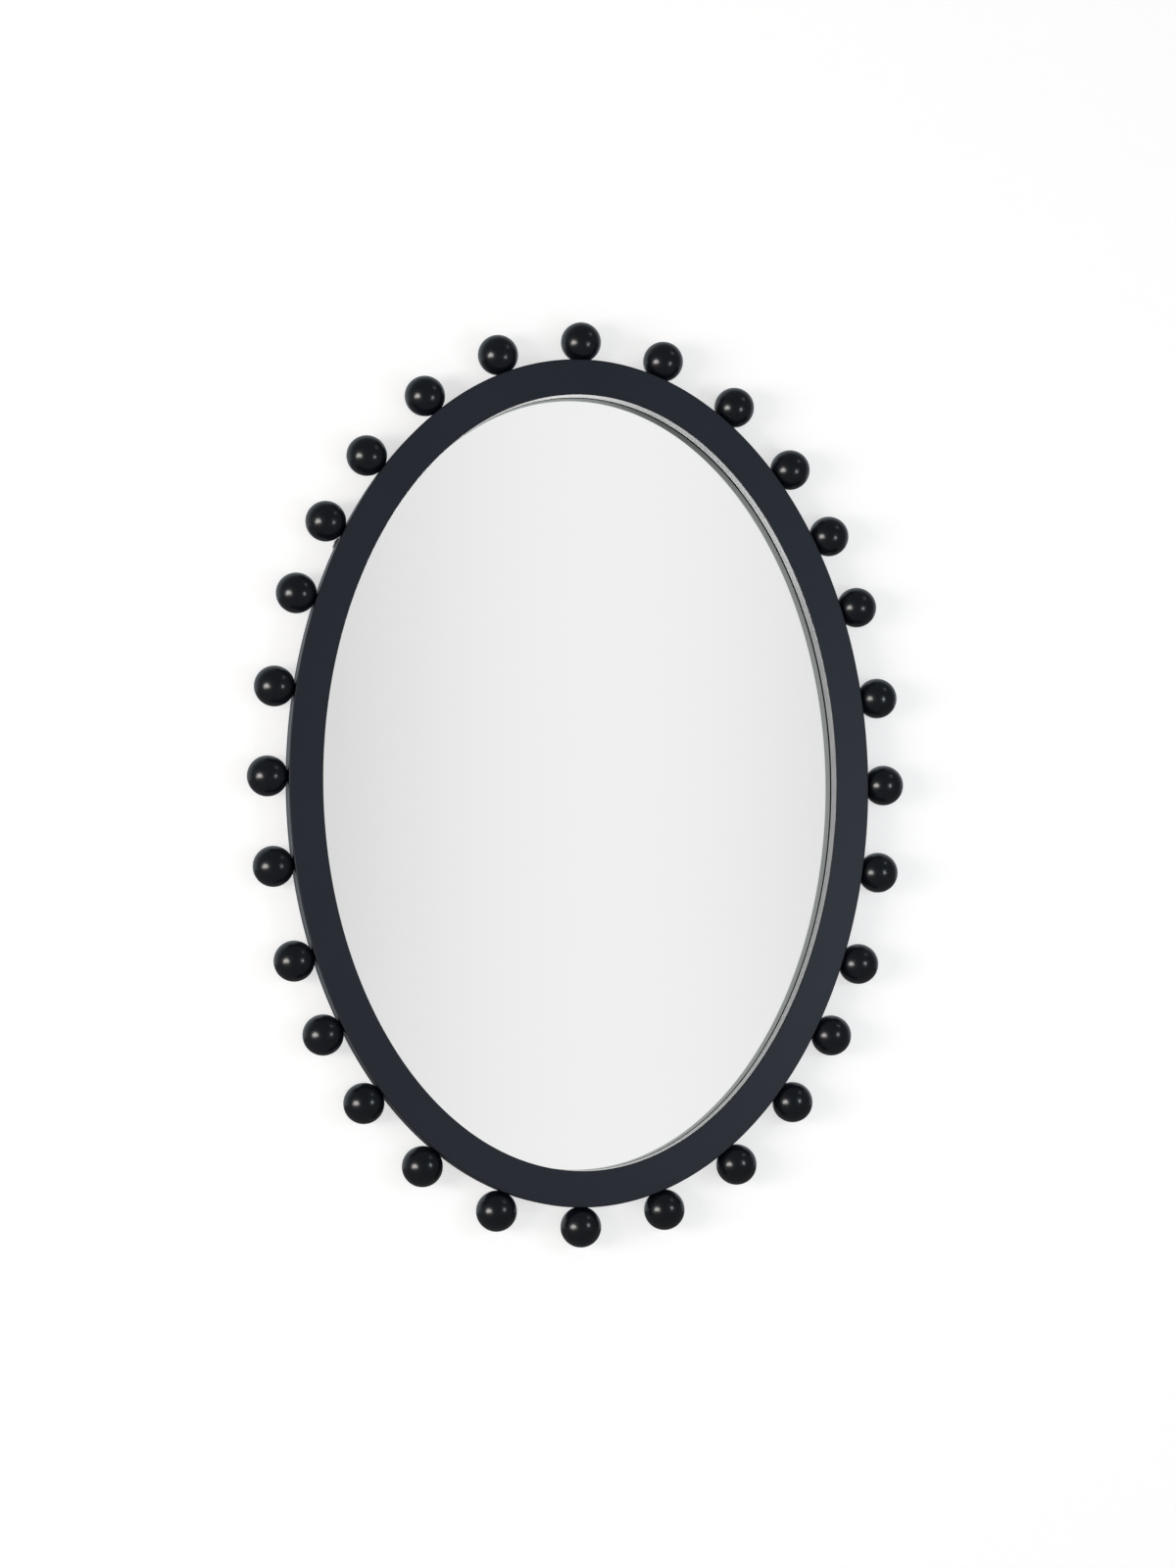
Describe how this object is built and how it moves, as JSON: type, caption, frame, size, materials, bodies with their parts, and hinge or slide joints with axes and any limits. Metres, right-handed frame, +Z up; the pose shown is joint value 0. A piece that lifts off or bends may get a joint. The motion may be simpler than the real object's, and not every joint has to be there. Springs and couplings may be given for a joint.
{
  "type": "oval beaded wall mirror",
  "caption": "Oval wall mirror in a flat black frame, ringed by round wooden beads, with swinging hanging rings on the back.",
  "frame": {"origin": "centre of the oval on the wall plane, which the four bumpers touch", "axes": "+Z up along the long axis of the oval, +X to the right seen from the front, +Y from the front towards the wall"},
  "size_m": [0.6606, 0.041, 0.9146],
  "materials": {
    "frame_paint": "satin black paint on fibreboard",
    "bead_paint": "satin black paint on turned wood",
    "mirror_glass": "polished, silvered behind",
    "foam": "matt",
    "fibreboard": "raw fibreboard",
    "dowel_wood": "raw beech",
    "zinc_steel": "bright zinc plate",
    "bumper_rubber": "matt"
  },
  "bodies": {
    "frame": {"front_ring": "frame_paint", "back_ring": "frame_paint", "mirror_pane": "mirror_glass", "foam_sheet": "foam", "backing_board": "fibreboard", "board_screws": "zinc_steel", "bead_dowels": "dowel_wood", "hanger_screws": "zinc_steel", "hanger_strap_left": "zinc_steel", "hanger_strap_right": "zinc_steel", "bead_01": "bead_paint", "bead_02": "bead_paint", "bead_03": "bead_paint", "bead_04": "bead_paint", "bead_05": "bead_paint", "bead_06": "bead_paint", "bead_07": "bead_paint", "bead_08": "bead_paint", "bead_09": "bead_paint", "bead_10": "bead_paint", "bead_11": "bead_paint", "bead_12": "bead_paint", "bead_13": "bead_paint", "bead_14": "bead_paint", "bead_15": "bead_paint", "bead_16": "bead_paint", "bead_17": "bead_paint", "bead_18": "bead_paint", "bead_19": "bead_paint", "bead_20": "bead_paint", "bead_21": "bead_paint", "bead_22": "bead_paint", "bead_23": "bead_paint", "bead_24": "bead_paint", "bead_25": "bead_paint", "bead_26": "bead_paint", "bead_27": "bead_paint", "bead_28": "bead_paint", "wall_bumper_upper_left": "bumper_rubber", "wall_bumper_upper_right": "bumper_rubber", "wall_bumper_lower_left": "bumper_rubber", "wall_bumper_lower_right": "bumper_rubber"},
    "ring_left": {"hanger_ring_left": "zinc_steel"},
    "ring_right": {"hanger_ring_right": "zinc_steel"}
  },
  "joints": [
    {"name": "ring_left_swing", "type": "hinge", "parent": "frame", "child": "ring_left", "pos_m": [-0.23712, -0.00535, 0.2218], "axis": [-0.9301, 0, 0.3673], "range_deg": [0, 174]},
    {"name": "ring_right_swing", "type": "hinge", "parent": "frame", "child": "ring_right", "pos_m": [0.23712, -0.00535, 0.2218], "axis": [-0.9301, 0, -0.3673], "range_deg": [0, 174]}
  ]
}
